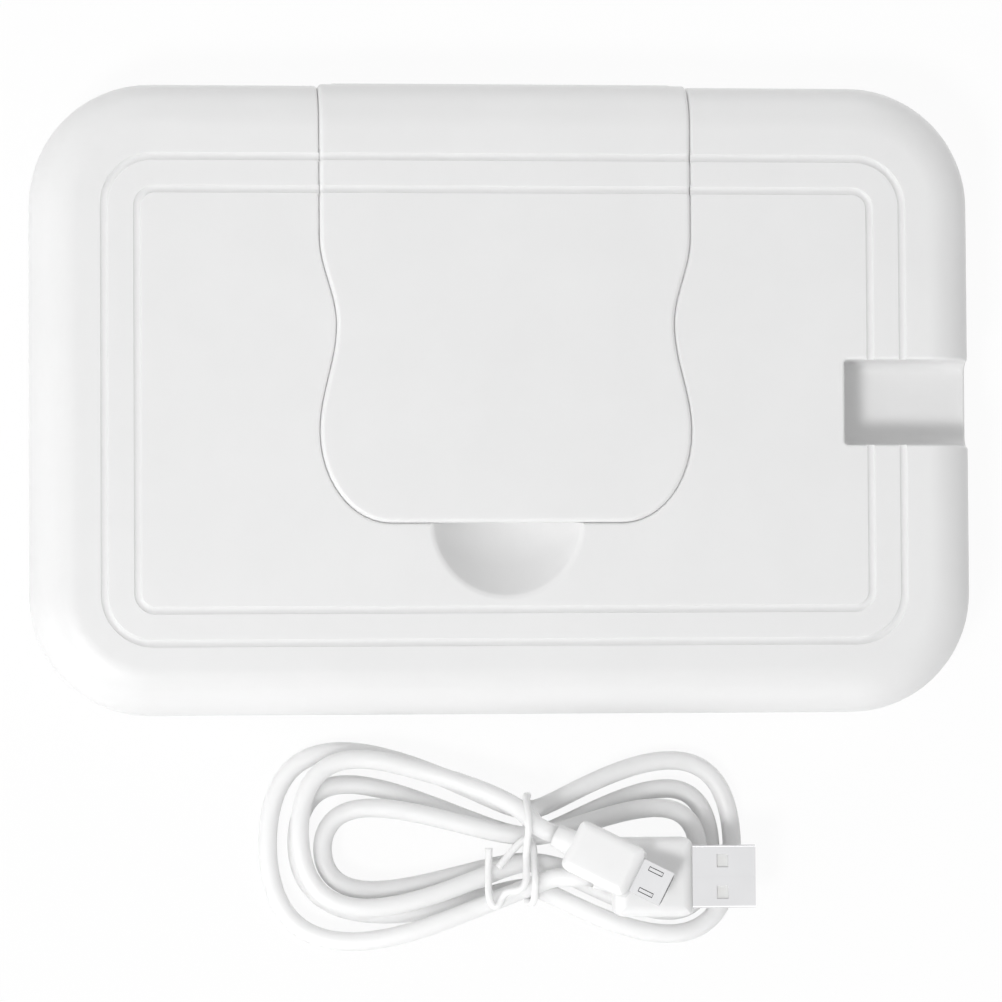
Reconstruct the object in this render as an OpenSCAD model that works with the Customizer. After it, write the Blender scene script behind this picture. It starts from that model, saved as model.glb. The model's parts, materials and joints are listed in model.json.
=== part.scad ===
// Baby wipe warmer: a flat heated cover for a pack of wipes, with a flip lid and a tied USB cable.
// Millimetres. The origin is the bottom centre of the warmer, +X towards the USB bay, +Y towards
// the hinge, +Z up. The cable lies in front of the warmer, on the same surface.

/* [Housing] */
// Length of the housing from side to side
case_w = 180; // [172:1:210]
// Depth of the housing from front to hinge side
case_d = 120; // [114:1:140]
// Height of the top panel above the table
case_h = 24; // [23:0.5:30]
// Corner radius seen from above
corner_r = 23; // [19:1:30]
// Radius of the rounded rim
rim_r = 9; // [8:0.5:10]
// Wall thickness of the mouldings
wall = 2; // [1.6:0.1:2.4]
// Height of the parting line above the table
parting_z = 7; // [6.6:0.1:8]
// Radius of the bottom edge
foot_round = 1.5; // [0.8:0.1:2]

/* [Ring grooves] */
// Width of a groove at the surface
groove_w = 1.5; // [1:0.1:2]
// Depth of a groove
groove_t = 0.5; // [0.3:0.05:0.8]
// Outer groove, from the edge of the housing
outer_inset = 13.2; // [12:0.2:15]
// Corner radius of the outer groove
outer_groove_r = 9.3; // [6:0.5:12]
// Inner groove, from the edge of the housing
inner_inset = 19.5; // [17:0.5:22]
// Corner radius of the inner groove
inner_groove_r = 3.4; // [2:0.2:6]

/* [Lid] */
// Half width of the lid at the hinge and at its hips
lid_half = 35.2; // [34.5:0.1:37]
// Half width of the lid at its waist
waist_half = 32; // [31:0.2:34]
// Distance from the centre to the shoulders, where the waist curve starts
shoulder_y = 30.5; // [28:0.5:33]
// Distance from the centre to the waist
waist_y = 13.8; // [11:0.2:16]
// Distance from the centre forward to the hips
hip_y = 6.5; // [4:0.5:8]
// Distance from the centre forward to the front edge
lid_front = 23.7; // [22.5:0.1:25]
// Half width of the straight front edge
front_half = 22; // [20:0.5:25]
// Thickness of the lid
lid_t = 2.2; // [1.8:0.1:2.4]
// Height of the lid above the top panel
lid_proud = 0.5; // [0.1:0.05:0.6]
// Gap all round the lid
lid_gap = 0.2; // [0.15:0.05:0.5]
// Width of the ledge under the lid
ledge = 4.6; // [3.6:0.2:5.2]
// Depth of the well in the lid recess
well_t = 2.6; // [2:0.1:3]

/* [Hinge] */
// Radius of the hinge barrel on the lid
barrel_r = 2.6; // [2.4:0.1:2.8]
// Radius of the hinge rod
rod_r = 1; // [0.8:0.1:1.2]
// Height of the hinge axis above the parting line
hinge_rise = 4; // [3.8:0.1:4.4]
// Running gap between the barrel and its pocket
barrel_gap = 0.4; // [0.3:0.05:0.5]
// Length of rod held in each cheek
rod_hold = 3; // [2:0.5:4]

/* [Wipe mouth] */
// Length of the mouth
mouth_w = 50; // [40:1:52]
// Width of the mouth
mouth_d = 22; // [18:1:26]
// Distance from the centre back to the middle of the mouth
mouth_y = 8; // [5:0.5:11]
// Wall of the chute
chute_wall = 1.6; // [1.2:0.1:2]
// Height of the collar above the floor of the well
collar_h = 1.7; // [1.2:0.1:1.8]
// Wall of the bezel that lines the lower end
bezel_wall = 1.4; // [1:0.1:1.8]

/* [Finger scoop] */
// Radius of the scoop seen from above
scoop_r = 14.2; // [10:0.2:15]
// Depth of the scoop
scoop_t = 7.5; // [4:0.25:8]
// How far the scoop reaches in under the lid
scoop_under = 2.4; // [1.5:0.1:3]

/* [USB bay] */
// Length of the bay, in from the side of the housing
bay_l = 25.2; // [22:0.2:26]
// Width of the bay
bay_w = 16.3; // [14:0.1:18]
// Height of the bay floor above the table
bay_z = 13.2; // [12:0.1:13.4]
// Radius at the foot of the bay walls
bay_round = 2.5; // [1:0.5:3]
// Distance from the centre forward to the middle of the bay
bay_y = 1; // [0:0.5:3]
// Depth of the socket axis below the top panel
socket_drop = 7; // [6.5:0.1:7.5]

/* [Heater] */
// Distance of the heat plate from the sides of the housing
plate_inset = 15; // [14:0.5:20]
// Thickness of the heat plate
plate_t = 1; // [0.8:0.1:1.2]
// Thickness of the heater film
film_t = 0.25; // [0.2:0.05:0.4]
// Thickness of the insulation pad
pad_t = 3; // [2:0.25:3.5]
// Width of the etched track
track_w = 1.4; // [1:0.1:2]
// Spacing of the runs of the track
track_step = 4.2; // [3.4:0.1:5]

/* [Electronics] */
// Length of the board from the lid side to the bay
board_w = 20.5; // [18:0.5:22]
// Width of the board
board_d = 28; // [26:1:32]
// Thickness of the board
board_t = 1.6; // [1:0.1:2]
// Radius of a heater lead
lead_r = 0.7; // [0.5:0.05:0.8]
// Radius of a sensor lead
sensor_r = 0.4; // [0.3:0.05:0.5]

/* [Fasteners and feet] */
// Shank radius of a case screw
screw_r = 1.1; // [1:0.05:1.3]
// Length of a case screw shank
screw_l = 9; // [7:0.5:10]
// Head radius of a case screw
head_r = 2.2; // [2:0.1:2.4]
// Radius of a foot pad
pad_r = 4.5; // [3:0.25:5]
// Height of the base above the table
foot_h = 1; // [0.6:0.1:1.2]

/* [Cable] */
// Diameter of the cable
cord_d = 3.6; // [3.4:0.1:3.7]
// Distance from the centre to the waist of the hank, to the right
hank_x = 5.6; // [4:0.2:7]
// Distance from the front of the housing to the waist of the hank
hank_out = 26; // [25:0.5:30]

/* [Hidden] */
$fn = 64;
seat = 0.05;          // gap between pieces that seat on each other
fit = 0.3;            // gap between mouldings that slip past each other
past = 1;             // how far a cut runs past the surface that it opens

// Colours
white = [0.95, 0.95, 0.96];
frost = [0.9, 0.92, 0.94];
steel = [0.76, 0.77, 0.79];
alloy = [0.8, 0.81, 0.83];
amber = [0.79, 0.5, 0.18];
copper = [0.78, 0.45, 0.28];
board_green = [0.1, 0.4, 0.25];
black = [0.12, 0.12, 0.13];
red = [0.75, 0.12, 0.1];
foam = [0.86, 0.86, 0.84];
gold = [0.85, 0.68, 0.3];

// Heights
top_in = case_h - wall;
lid_top = case_h + lid_proud;
lid_under = lid_top - lid_t;
ledge_z = lid_under - 0.2;
well_z = ledge_z - well_t;
plate_z = foot_h + 1;
film_z = plate_z + plate_t;
track_z = film_z + film_t;
track_t = 0.15;
pad_z = track_z + track_t;
pad_top = pad_z + pad_t;
floor_top = plate_z + plate_t + 0.2;

// Hinge
hinge_y = case_d / 2 + lid_proud - barrel_r;
hinge_z = parting_z + hinge_rise;
rim_y = case_d / 2 - rim_r;
rim_z = case_h - rim_r;
pocket_r = barrel_r + barrel_gap;
cheek_x = lid_half + lid_gap;

// Heat plate
plate_w = case_w - 2 * plate_inset;
plate_d = case_d - 2 * plate_inset;

// Well under the lid
well_front = lid_front - ledge;
well_back = shoulder_y + 8;
well_half = waist_half - ledge / 2;
well_r = 8;

// Case screws: four near the corners, four beside the hinge and opposite it
corner_screw = [case_w / 2 - 10, case_d / 2 - 12];
mid_screw = [lid_half + 7, case_d / 2 - 8];
boss_r = 3;
boss_top = hinge_z + 4;
head_t = 1.6;
screw_sink = 2.2;
bay_x = case_w / 2 - bay_l;
board_x = bay_x - wall - fit - board_w;
socket_z = case_h - socket_drop;
socket_w = 7.5;
socket_t = 2.6;
socket_l = 5.6;
board_top = socket_z - socket_t / 2;
board_screw_at = [[3.4, 10.5], [board_w - 3.4, 10.5]];
board_boss_r = 2.2;
board_screw_r = 0.9;
board_bite = 4;       // how far a board screw goes into its boss
cheek_r = 4;
chip = [5, 6, 1.5];
coil = [6.6, 6, 2.3];
lead_x = board_x + 7.5;
seal_w = 1.2;         // how far the lid seal stands out beyond the chute
lid_step = 2.3;       // how far the proud part of the lid's rear stays clear of its sides
bay_corner = 0.8;     // radius of the two inner corners of the bay seen from above

// Hooks under the front of the lid
hook_x = 17;
hook_w = 5;
hook_z = lid_under - 1.9;

// Sensor and thermal fuse on the film, beside the mouth
sensor_at = [mouth_w / 2 + 16, 22];
cutoff_at = [mouth_w / 2 + 16, -26];

// Plan of a rounded rectangle
module rounded_plan(w, d, r) {
    square([w - 2 * r, d], center = true);
    square([w, d - 2 * r], center = true);
    for (sx = [-1, 1], sy = [-1, 1])
        translate([sx * (w / 2 - r), sy * (d / 2 - r)]) circle(r);
}

// Plate with the plan of a rounded rectangle
module slab(w, d, r, z0, z1) {
    translate([0, 0, z0]) linear_extrude(z1 - z0) rounded_plan(w, d, r);
}

// Plan of a slot with round ends, its length over all
module stadium(w, d) {
    square([w - d, d], center = true);
    for (s = [-1, 1]) translate([s * (w - d) / 2, 0]) circle(d / 2);
}

// Quarter of a disc, in the corner between +X and +Y
module quarter(r) {
    intersection() {
        circle(r);
        square(r + past);
    }
}

// Half of the section of a block with a rounded rim, from its centre to its edge
module half_section(half, rim, z0, z1) {
    translate([0, z0]) square([half, z1 - rim - z0]);
    translate([0, z0]) square([half - rim, z1 - z0]);
    translate([half - rim, z1 - rim]) quarter(rim);
}

// Whole section of that block
module whole_section(w, rim, z0, z1) {
    half_section(w / 2, rim, z0, z1);
    mirror([1, 0]) half_section(w / 2, rim, z0, z1);
}

// Block with a rounded rim all round its top
module pillow(w, d, r, rim, z0, z1) {
    rotate([90, 0, 0]) linear_extrude(d - 2 * r, center = true) whole_section(w, rim, z0, z1);
    rotate([90, 0, 90]) linear_extrude(w - 2 * r, center = true) whole_section(d, rim, z0, z1);
    for (sx = [-1, 1], sy = [-1, 1])
        translate([sx * (w / 2 - r), sy * (d / 2 - r), 0])
            rotate_extrude() half_section(r, rim, z0, z1);
}

module case_envelope(z0) {
    pillow(case_w, case_d, corner_r, rim_r, z0, case_h);
}

module case_cavity(z0) {
    pillow(case_w - 2 * wall, case_d - 2 * wall, corner_r - wall, rim_r - wall, z0, top_in);
}

// Groove with a round bottom that runs round a rectangle
module ring_groove(w, d, r, z) {
    bend = (groove_w * groove_w / 4 + groove_t * groove_t) / (2 * groove_t);
    axis_z = z - groove_t + bend;
    for (s = [-1, 1]) {
        translate([0, s * d / 2, axis_z])
            rotate([0, 90, 0]) cylinder(h = w - 2 * r, r = bend, center = true);
        translate([s * w / 2, 0, axis_z])
            rotate([90, 0, 0]) cylinder(h = d - 2 * r, r = bend, center = true);
    }
    for (q = [0 : 3])
        translate([(q == 0 || q == 3 ? 1 : -1) * (w / 2 - r), (q < 2 ? 1 : -1) * (d / 2 - r), axis_z])
            rotate([0, 0, 90 * q]) rotate_extrude(angle = 90) translate([r, 0]) circle(bend);
}

module both_grooves(z) {
    ring_groove(case_w - 2 * outer_inset, case_d - 2 * outer_inset, outer_groove_r, z);
    ring_groove(case_w - 2 * inner_inset, case_d - 2 * inner_inset, inner_groove_r, z);
}

// Right side of the lid's plan, from the shoulder forward, with every edge moved out by grow
function blend_half(a) = (lid_half + waist_half) / 2 + (lid_half - waist_half) / 2 * cos(a);
function waist_side(grow) = [
    for (a = [0 : 15 : 180]) [blend_half(a) + grow, shoulder_y - (shoulder_y - waist_y) * a / 180],
    for (a = [195 : 15 : 345]) [blend_half(a) + grow, waist_y - (waist_y + hip_y) * (a - 180) / 180]
];
function front_corner(grow) = [
    for (a = [0 : 7.5 : 90])
        [front_half + (lid_half - front_half + grow) * cos(a), -hip_y - (lid_front - hip_y + grow) * sin(a)]
];
function lid_side(grow, back) = concat([[lid_half + grow, back]], waist_side(grow), front_corner(grow));
function mirrored(points) = [for (i = [len(points) - 1 : -1 : 0]) [-points[i].x, points[i].y]];

// Plan of the lid, moved out by grow, up to the line back
module lid_plan(grow, back) {
    side = lid_side(grow, back);
    polygon(concat(side, mirrored(side)));
}

// Side view under a surface that lies drop below the outer skin, from the front back to the hinge
module under_skin(drop, low) {
    translate([-case_d, low]) square([case_d + rim_y, case_h - drop - low]);
    translate([rim_y, rim_z]) quarter(rim_r - drop);
    translate([0, low]) square([rim_y + rim_r - drop, rim_z - low]);
}

// Extrudes a side view, drawn in Y and Z, along X
module across(length) {
    rotate([90, 0, 90]) linear_extrude(length, center = true) children();
}

module at_hinge() {
    translate([0, hinge_y, hinge_z]) rotate([0, 90, 0]) children();
}

// Space of the lid and of its swing, above the ledge
module recess_space() {
    intersection() {
        translate([0, 0, parting_z - past])
            linear_extrude(case_h) lid_plan(lid_gap, case_d / 2 + 5);
        across(case_w) difference() {
            translate([-case_d / 2, parting_z - past]) square([case_d + 10, case_h]);
            difference() {
                under_skin(case_h - ledge_z, 0);
                translate([hinge_y, hinge_z]) circle(pocket_r);
                translate([hinge_y - barrel_r / 2, 0]) square([case_d, hinge_z]);
            }
        }
    }
}

// Walls and floor of the recess, inside the housing
module recess_walls() {
    intersection() {
        case_envelope(parting_z);
        translate([0, 0, parting_z]) linear_extrude(case_h) lid_plan(lid_gap + wall, case_d / 2);
        across(case_w) difference() {
            translate([-case_d / 2, parting_z]) square([case_d, case_h]);
            difference() {
                under_skin(case_h - ledge_z + wall, 0);
                translate([hinge_y, hinge_z]) circle(pocket_r + 1.5);
                translate([hinge_y - barrel_r / 2 - 1.5, 0]) square([case_d, hinge_z]);
            }
        }
    }
}

module well_slab(grow, z0, z1) {
    translate([0, (well_back - well_front) / 2, 0])
        slab(2 * (well_half + grow), well_back + well_front + 2 * grow, well_r + grow, z0, z1);
}

module scoop_bowl(grow) {
    bend = (scoop_r * scoop_r + scoop_t * scoop_t) / (2 * scoop_t);
    intersection() {
        translate([0, -lid_front, case_h - scoop_t + bend]) sphere(bend + grow, $fn = 96);
        translate([-case_w / 2, -case_d / 2, 0])
            cube([case_w, case_d / 2 - lid_front + scoop_under + grow, case_h + past]);
    }
}

module at_case_screws() {
    for (p = [corner_screw, mid_screw], sx = [-1, 1], sy = [-1, 1])
        translate([sx * p.x, sy * p.y, 0]) children();
}

module at_board_screws() {
    for (p = board_screw_at, s = [-1, 1]) translate([board_x + p.x, s * p.y - bay_y, 0]) children();
}

module chute(grow, z0, z1) {
    translate([0, mouth_y, z0])
        linear_extrude(z1 - z0) stadium(mouth_w + 2 * grow, mouth_d + 2 * grow);
}

module bay_space(grow) {
    low = bay_z - grow;
    half = bay_w / 2 + grow;
    round = bay_round + grow;
    long = bay_l + 10;
    translate([bay_x - grow, -bay_y, 0]) intersection() {
        rotate([90, 0, 90]) linear_extrude(long) {
            translate([-half, low + round]) square([2 * half, case_h]);
            translate([-half + round, low]) square([2 * (half - round), case_h]);
            for (s = [-1, 1]) translate([s * (half - round), low + round]) circle(round);
        }
        translate([long, 0, 0]) linear_extrude(3 * case_h)
            rounded_plan(2 * long, 2 * half, bay_corner + grow);
    }
}

module upper_case() {
    color(white) difference() {
        union() {
            difference() {
                case_envelope(parting_z);
                case_cavity(parting_z - past);
            }
            recess_walls();
            well_slab(1.8, well_z - wall, ledge_z);
            chute(chute_wall, pad_z + 0.3, well_z + collar_h);
            intersection() {
                case_envelope(parting_z);
                union() {
                    bay_space(wall);
                    scoop_bowl(wall);
                    at_hinge() cylinder(h = 2 * (cheek_x + rod_hold + 1.5), r = cheek_r, center = true);
                    at_case_screws() translate([0, 0, parting_z]) cylinder(h = case_h, r = boss_r);
                    at_board_screws()
                        translate([0, 0, board_top]) cylinder(h = case_h - 1 - board_top, r = board_boss_r);
                }
            }
        }
        recess_space();
        difference() {
            well_slab(0, well_z, case_h);
            chute(chute_wall, 0, well_z + collar_h);
        }
        bay_space(0);
        scoop_bowl(0);
        chute(0, 0, case_h);
        both_grooves(case_h);
        at_hinge() cylinder(h = 2 * (cheek_x + rod_hold), r = rod_r + 0.02, center = true);
        at_case_screws() cylinder(h = boss_top - 1.5, r = screw_r + 0.02);
        at_board_screws() translate([0, 0, board_top - past])
            cylinder(h = board_bite + past + 0.3, r = board_screw_r + 0.02);
        translate([bay_x - wall / 2, -bay_y, socket_z])
            cube([wall + 2 * past, socket_w + 2 * seat, socket_t + 2 * seat], center = true);
        catches(0.25);
    }
}

// The two ridges in the front wall of the well, or with grow the slots that the hooks snap into
module catches(grow) {
    for (s = [-1, 1])
        translate([s * hook_x - hook_w / 2 - grow, -well_front - 0.7 - grow, hook_z - grow])
            cube([hook_w + 2 * grow, 1 + grow, 0.9 + 2 * grow]);
}

module lid_section() {
    difference() {
        union() {
            difference() {
                intersection() {
                    translate([-lid_front - past, 0]) square([case_d, lid_top]);
                    union() {
                        translate([-case_d, hinge_z]) square([case_d + rim_y, lid_top - hinge_z]);
                        translate([rim_y, rim_z]) quarter(rim_r + lid_proud);
                        translate([0, hinge_z]) square([rim_y + rim_r + lid_proud, rim_z - hinge_z]);
                    }
                }
                under_skin(case_h - lid_under, 0);
            }
            translate([hinge_y, hinge_z]) circle(barrel_r);
        }
        translate([hinge_y, hinge_z]) circle(rod_r + 0.06);
    }
}

module lid() {
    seal_out = chute_wall + seal_w + 0.1;
    color(white) {
        difference() {
            intersection() {
                across(2 * lid_half) lid_section();
                translate([0, 0, parting_z]) linear_extrude(case_h) difference() {
                    lid_plan(0, case_d / 2 + lid_proud);
                    for (s = [-1, 1]) translate([s * lid_half, case_d / 2 + lid_proud])
                        square([2 * lid_step, 2 * lid_proud], center = true);
                }
            }
            both_grooves(lid_top);
        }
        // Stiffening skirt, open towards the hinge
        difference() {
            well_slab(-fit - 0.2, lid_under - 1.6, lid_under);
            well_slab(-fit - 1.4, 0, case_h);
            translate([-case_w / 2, waist_y + 16, 0]) cube([case_w, case_d, case_h]);
        }
        // Rib that holds the seal
        difference() {
            chute(seal_out + 1, lid_under - 0.9, lid_under);
            chute(seal_out, 0, case_h);
        }
        // Hooks that snap into the front wall of the well
        for (s = [-1, 1]) translate([s * hook_x - hook_w / 2, -well_front + fit + 0.2, hook_z]) {
            cube([hook_w, 1.2, lid_under - hook_z]);
            translate([0, -1, 0]) cube([hook_w, 1.2, 0.9]);
        }
    }
}

module lid_seal() {
    color(frost) difference() {
        chute(chute_wall + seal_w, well_z + collar_h + fit, lid_under);
        chute(-0.8, 0, case_h);
    }
}

module hinge_rod() {
    color(steel) at_hinge() cylinder(h = 2 * (cheek_x + rod_hold - 0.1), r = rod_r, center = true);
}

// Block with a rounded bottom edge, from the base up to the parting line
module base_block(grow, z0, z1) {
    mirror([0, 0, 1])
        pillow(case_w + 2 * grow, case_d + 2 * grow, corner_r + grow, max(foot_round + grow, 0.2), -z1, -z0);
}

module base_frame() {
    tongue_top = parting_z + 1.6;
    color(white) difference() {
        union() {
            difference() {
                base_block(0, foot_h, parting_z);
                slab(case_w - 2 * wall, case_d - 2 * wall, corner_r - wall, floor_top, parting_z + past);
            }
            // Tongue that locates the housing
            difference() {
                slab(case_w - 2 * wall - fit, case_d - 2 * wall - fit, corner_r - wall - fit / 2,
                     floor_top, tongue_top);
                slab(case_w - 2 * wall - 3, case_d - 2 * wall - 3, corner_r - wall - 1.5, 0, case_h);
                translate([-cheek_x - 6, hinge_y - 8, parting_z - 0.2]) cube([2 * cheek_x + 12, 20, 5]);
                at_case_screws() translate([0, 0, parting_z - 0.2]) cylinder(h = 5, r = boss_r + fit);
            }
            at_case_screws() translate([0, 0, foot_h]) cylinder(h = parting_z - foot_h, r = boss_r + 0.4);
        }
        slab(plate_w - 4, plate_d - 4, 8, 0, parting_z);
        slab(plate_w + 2 * fit, plate_d + 2 * fit, 10 + fit, plate_z, parting_z);
        at_case_screws() {
            cylinder(h = parting_z + past, r = screw_r + 0.2);
            cylinder(h = foot_h + screw_sink, r = head_r + 0.3);
        }
        at_feet() cylinder(h = foot_h + 0.4, r = pad_r + 0.1);
    }
}

module at_feet() {
    for (sx = [-1, 1], sy = [-1, 1])
        translate([sx * (case_w / 2 - (case_w - plate_w) / 4 - 1), sy * case_d / 4, 0]) children();
}

module mouth_bezel() {
    color(white) difference() {
        union() {
            chute(1.6, foot_h + 0.2, plate_z);
            chute(-fit, plate_z - seat, well_z - 6);
        }
        chute(-fit - bezel_wall, 0, case_h);
    }
}

module heat_plate() {
    color(alloy) difference() {
        slab(plate_w, plate_d, 10, plate_z, film_z);
        chute(0, 0, case_h);
    }
}

module heater_film() {
    color(amber) difference() {
        slab(plate_w - 8, plate_d - 8, 4, film_z, track_z);
        chute(chute_wall + 1, 0, case_h);
    }
}

// Track of the heater: a meander on each side of the mouth, joined in front and behind
module heater_trace() {
    runs = floor((plate_w / 2 - 7 - mouth_w / 2 - 6) / track_step);
    reach = plate_d / 2 - 9;
    color(copper) translate([0, 0, track_z]) linear_extrude(track_t) {
        for (s = [-1, 1]) {
            for (i = [0 : runs])
                translate([s * (mouth_w / 2 + 5 + i * track_step) - track_w / 2, -reach])
                    square([track_w, 2 * reach]);
            for (i = [0 : runs - 1])
                translate([
                    s * (mouth_w / 2 + 5 + (i + 0.5) * track_step) - (track_step + track_w) / 2,
                    i % 2 == 0 ? reach - track_w : -reach
                ]) square([track_step + track_w, track_w]);
        }
        translate([-mouth_w / 2 - 5, -reach]) square([mouth_w + 10, track_w]);
    }
}

module insulation_pad() {
    color(foam) difference() {
        slab(plate_w - 7, plate_d - 7, 5, pad_z, pad_top);
        chute(chute_wall + 1, 0, case_h);
        translate([sensor_at.x, sensor_at.y, 0]) slab(12, 8, 2, 0, case_h);
        translate([cutoff_at.x, cutoff_at.y, 0]) slab(14, 8, 2, 0, case_h);
    }
}

module thermistor() {
    color(black) translate([sensor_at.x, sensor_at.y, pad_z + 1]) {
        rotate([0, 90, 0]) cylinder(h = 3.4, r = 1, center = true);
        for (s = [-1, 1]) translate([s * 1.7, 0, 0]) sphere(1);
    }
}

module thermal_cutoff() {
    color(steel) translate([cutoff_at.x, cutoff_at.y, pad_z]) {
        translate([-4, -2, 0]) cube([8, 4, 1.8]);
        for (s = [-1, 1]) translate([s * 4, 0, 0.9]) rotate([0, s * 90, 0]) cylinder(h = 2.4, r = 0.4);
    }
}

function unit(v) = v / norm(v);

// Direction of a route at point i
function heading(p, i) = unit(
    (i == len(p) - 1 ? [0, 0, 0] : unit(p[i + 1] - p[i])) + (i == 0 ? [0, 0, 0] : unit(p[i] - p[i - 1]))
);

// One direction square to the route for each of its points, turned as little as the route allows
function sideways(p, i, last) = i == len(p) ? [] :
    let (h = heading(p, i), side = unit(last - (last * h) * h)) concat([side], sideways(p, i + 1, side));

// Tube of radius r along the route p, in triangles
module tube(p, r, sides, first) {
    side = sideways(p, 0, first);
    rings = [
        for (i = [0 : len(p) - 1], j = [0 : sides - 1])
            let (a = 360 * j / sides) p[i] + r * (cos(a) * side[i] + sin(a) * cross(heading(p, i), side[i]))
    ];
    end = len(rings) - sides;
    skin = [
        for (i = [0 : len(p) - 2], j = [0 : sides - 1])
            let (a = i * sides + j, b = i * sides + (j + 1) % sides)
                each [[a, b + sides, b], [a, a + sides, b + sides]]
    ];
    caps = [for (j = [1 : sides - 2]) each [[0, j, j + 1], [end, end + j + 1, end + j]]];
    polyhedron(rings, concat(skin, caps));
}

// Cuts every inner corner of a route
function softened(p, cut) = concat([p[0]], [
    for (i = [1 : len(p) - 2]) each [p[i] - cut * unit(p[i] - p[i - 1]), p[i] + cut * unit(p[i + 1] - p[i])]
], [p[len(p) - 1]]);

module wire(points, r) {
    tube(softened(points, 1), r, 8, [0.3, 0.9, 0.1]);
}

module heater_leads() {
    color(red) for (i = [0, 1]) {
        x = lead_x + 3 * i;
        y = cutoff_at.y + 9 + 3 * i;
        low = pad_top + lead_r + seat;
        wire([[cutoff_at.x + (i == 0 ? -6 : 6), cutoff_at.y, pad_z + 0.9 + lead_r],
              [cutoff_at.x + (i == 0 ? -6 : 6), cutoff_at.y, low], [x, y, low],
              [x, -bay_y - board_d / 2 + 2, low],
              [x, -bay_y - board_d / 2 + 2, board_top - board_t]], lead_r);
    }
}

module sensor_leads() {
    color(black) for (i = [0, 1]) {
        x = lead_x + 2 * i;
        low = pad_top + sensor_r + seat;
        start = sensor_at.x + (i == 0 ? -1.7 : 1.7);
        wire([[start, sensor_at.y, pad_z + 2 + seat], [start, sensor_at.y, low],
              [x, sensor_at.y - 8 + 2 * i, low], [x, -bay_y + board_d / 2 - 2, low],
              [x, -bay_y + board_d / 2 - 2, board_top - board_t]], sensor_r);
    }
}

module control_board() {
    color(board_green) difference() {
        translate([board_x, -bay_y - board_d / 2, board_top - board_t]) cube([board_w, board_d, board_t]);
        at_board_screws() cylinder(h = case_h, r = board_screw_r + 0.1);
    }
}

module board_chips() {
    color(black) translate([board_x, -bay_y, board_top]) {
        translate([chip.x + 1, -chip.y + 1, 0]) cube(chip);
        translate([coil.x, coil.y / 2, 0]) cube(coil);
        translate([3, -1, 0]) cylinder(h = 3.6, r = 1.9);
        for (i = [0 : 3]) translate([2 * chip.x + 2.6, -chip.y + 2 * i, 0]) cube([1.6, 0.8, 0.5]);
    }
}

module usb_socket() {
    color(steel) translate([bay_x - 0.6 - socket_l, -bay_y, socket_z]) difference() {
        translate([0, -socket_w / 2, -socket_t / 2]) cube([socket_l, socket_w, socket_t]);
        translate([1, -socket_w / 2 + 0.3, -socket_t / 2 + 0.3])
            cube([socket_l, socket_w - 0.6, socket_t - 0.6]);
    }
    color(black) translate([bay_x - 0.6 - socket_l + 0.9, -bay_y - 1.9, socket_z - 0.1])
        cube([3.4, 3.8, 0.6]);
}

module screw(shank_r, shank_l, cap_r, cap_t) {
    cylinder(h = cap_t, r = cap_r);
    translate([0, 0, cap_t]) cylinder(h = shank_l, r = shank_r);
}

module board_screws() {
    color(steel) at_board_screws() translate([0, 0, board_top - board_t - 1.2]) difference() {
        screw(board_screw_r, board_t + board_bite, 1.7, 1.2);
        cross_slot(1.6, 0.5);
    }
}

module cross_slot(length, depth) {
    for (a = [0, 90]) rotate(a) translate([-length / 2, -0.2, -past]) cube([length, 0.4, depth + past]);
}

module case_screws() {
    color(steel) at_case_screws() translate([0, 0, foot_h + screw_sink - head_t]) difference() {
        screw(screw_r, screw_l, head_r, head_t);
        cross_slot(2.4, 0.8);
    }
}

module foot_pads() {
    color(frost) at_feet() cylinder(h = foot_h + 0.4, r = pad_r);
}

// Waist of the hank: side step and height of each strand, in the order in which the cable runs
waist_step = 5;
low_layer = 3.6;      // the tie runs under the lower strands
high_layer = 7.7;
strand_y = waist_step * [-1.5, 1.5, -1.5, 0.5, -0.5, 0.5, -0.5, 1.5];
strand_z = [high_layer, low_layer, low_layer, low_layer, low_layer, high_layer, high_layer, high_layer];

// Loops of the hank, left and right by turns: reach, half height, middle and height of the tip
loops = [
    [50.1, 16.6, 1.2, 1.9],
    [39.9, 15.1, 0.2, 1.9],
    [44.5, 11.4, 1.5, 1.9],
    [35.7, 11.7, -0.5, 1.9],
    [39.7, 7.8, 0.3, 4.6],
    [32.8, 8.1, -0.6, 5.3],
    [44.2, 13.4, 3.6, 6.4]
];
loop_rings = 24;
loop_belly = 0.17;    // how much fuller a loop is than a plain figure of eight
waist_bend = 2.2;     // how softly a strand turns at the waist

// Half of the hank's loop n, at angle a from 0 at the waist through 90 at the tip to 180
function loop_point(n, a) =
    let (
        side = n % 2 == 0 ? -1 : 1,
        from = a <= 90 ? n : n + 1,
        up = strand_y[n] > 0 ? 1 : -1,
        near = pow(cos(a), 4),
        swing = loops[n][1] * sin(2 * a),
        soft = waist_bend * near,
        bow = (swing < 0 ? -1 : 1) * (sqrt(swing * swing + soft * soft) - soft)
    ) [
        side * loops[n][0] * sin(a) * (1 + loop_belly * cos(a) * cos(a)),
        strand_y[from] * near + loops[n][2] * (1 - near) + up * bow,
        loops[n][3] + (strand_z[from] - loops[n][3]) * pow(abs(cos(a)), 3)
    ];
function hank_loops(rings) = [
    for (n = [0 : len(loops) - 1])
        for (i = [(n == 0 ? rings / 12 : 0) : rings - (n == len(loops) - 1 ? rings / 6 : 1)])
        loop_point(n, 180 * i / rings)
];

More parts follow.
